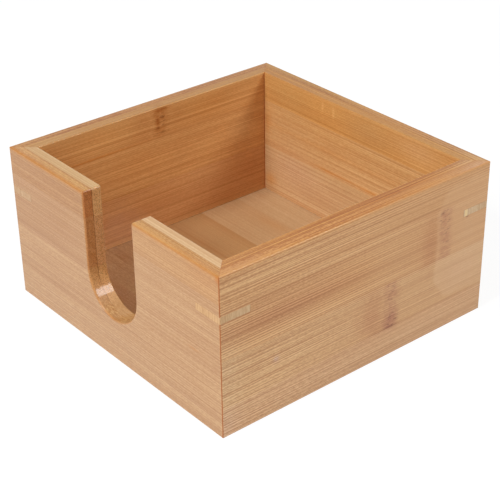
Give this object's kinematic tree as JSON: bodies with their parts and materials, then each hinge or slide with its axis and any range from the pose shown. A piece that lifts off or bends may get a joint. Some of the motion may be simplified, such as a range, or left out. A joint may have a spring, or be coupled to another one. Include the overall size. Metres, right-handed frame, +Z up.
{
  "type": "napkin holder",
  "caption": "Square open-topped bamboo box for paper napkins, with a round-bottomed thumb notch in the front wall and keyed mitre corners.",
  "frame": {"origin": "middle of the footprint, on the surface that the box stands on", "axes": "+Z up out of the open top; the front wall with the thumb notch faces -Y; +X to its right as seen from the front"},
  "size_m": [0.15, 0.15, 0.075],
  "materials": {
    "outer_ply_bamboo": "satin lacquer",
    "inner_ply_bamboo": "satin lacquer",
    "floor_bamboo": "satin lacquer",
    "key_bamboo": "satin lacquer"
  },
  "bodies": {
    "root": {"back_wall_inner_strip_1": "inner_ply_bamboo", "back_wall_inner_strip_2": "inner_ply_bamboo", "back_wall_inner_strip_3": "inner_ply_bamboo", "back_wall_inner_strip_4": "inner_ply_bamboo", "back_wall_outer_strip_1": "outer_ply_bamboo", "back_wall_outer_strip_2": "outer_ply_bamboo", "back_wall_outer_strip_3": "outer_ply_bamboo", "back_wall_outer_strip_4": "outer_ply_bamboo", "floor_strip_1": "floor_bamboo", "floor_strip_2": "floor_bamboo", "floor_strip_3": "floor_bamboo", "floor_strip_4": "floor_bamboo", "floor_strip_5": "floor_bamboo", "floor_strip_6": "floor_bamboo", "front_wall_inner_strip_1": "inner_ply_bamboo", "front_wall_inner_strip_2": "inner_ply_bamboo", "front_wall_inner_strip_3_left": "inner_ply_bamboo", "front_wall_inner_strip_3_right": "inner_ply_bamboo", "front_wall_inner_strip_4_left": "inner_ply_bamboo", "front_wall_inner_strip_4_right": "inner_ply_bamboo", "front_wall_outer_strip_1": "outer_ply_bamboo", "front_wall_outer_strip_2": "outer_ply_bamboo", "front_wall_outer_strip_3_left": "outer_ply_bamboo", "front_wall_outer_strip_3_right": "outer_ply_bamboo", "front_wall_outer_strip_4_left": "outer_ply_bamboo", "front_wall_outer_strip_4_right": "outer_ply_bamboo", "left_wall_inner_strip_1": "inner_ply_bamboo", "left_wall_inner_strip_2": "inner_ply_bamboo", "left_wall_inner_strip_3": "inner_ply_bamboo", "left_wall_inner_strip_4": "inner_ply_bamboo", "left_wall_outer_strip_1": "outer_ply_bamboo", "left_wall_outer_strip_2": "outer_ply_bamboo", "left_wall_outer_strip_3": "outer_ply_bamboo", "left_wall_outer_strip_4": "outer_ply_bamboo", "mitre_key_back_left": "key_bamboo", "mitre_key_back_right": "key_bamboo", "mitre_key_front_left": "key_bamboo", "mitre_key_front_right": "key_bamboo", "right_wall_inner_strip_1": "inner_ply_bamboo", "right_wall_inner_strip_2": "inner_ply_bamboo", "right_wall_inner_strip_3": "inner_ply_bamboo", "right_wall_inner_strip_4": "inner_ply_bamboo", "right_wall_outer_strip_1": "outer_ply_bamboo", "right_wall_outer_strip_2": "outer_ply_bamboo", "right_wall_outer_strip_3": "outer_ply_bamboo", "right_wall_outer_strip_4": "outer_ply_bamboo"}
  },
  "joints": []
}
